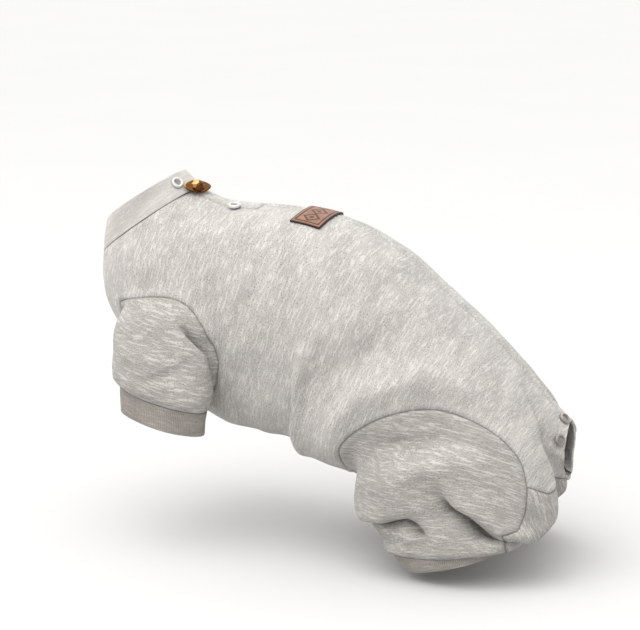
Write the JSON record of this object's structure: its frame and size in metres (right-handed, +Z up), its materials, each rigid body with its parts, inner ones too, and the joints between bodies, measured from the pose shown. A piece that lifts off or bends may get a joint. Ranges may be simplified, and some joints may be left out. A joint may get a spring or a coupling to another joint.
{
  "type": "cat bodysuit",
  "caption": "Four-legged fleece bodysuit for a cat, hollow and in its worn pose, with rib collar and cuffs, a back placket with ring snaps, a leather patch and an open tail end.",
  "frame": {"origin": "on the inside of the centre back at the withers, where the wearer's back holds the suit up", "axes": "+Z up, the wearer faces -X, its left side is -Y, and the back runs towards +X"},
  "size_m": [0.3778, 0.1828, 0.28],
  "materials": {
    "fleece": "heather grey sweatshirt fleece, matt, with pale slubs and dark flecks",
    "rib": "heather grey knitted rib, matt",
    "snap": "pearly caps with a soft gloss",
    "leather": "vegetable-tanned cognac leather with dark burnt edges",
    "brass": "polished antique brass"
  },
  "bodies": {
    "root": {"body_left": "fleece", "body_right": "fleece", "seat_gusset": "fleece", "leg_left": "fleece", "leg_right": "fleece", "sleeve_left": "fleece", "sleeve_right": "fleece", "back_placket": "fleece", "collar": "rib", "cuff_fore_left": "rib", "cuff_fore_right": "rib", "cuff_hind_left": "rib", "cuff_hind_right": "rib", "snap_collar": "snap", "snap_placket": "snap", "snap_tail_top": "snap", "snap_tail_left": "snap", "snap_tail_right": "snap", "leather_patch": "leather", "brass_charm": "brass"}
  },
  "joints": []
}
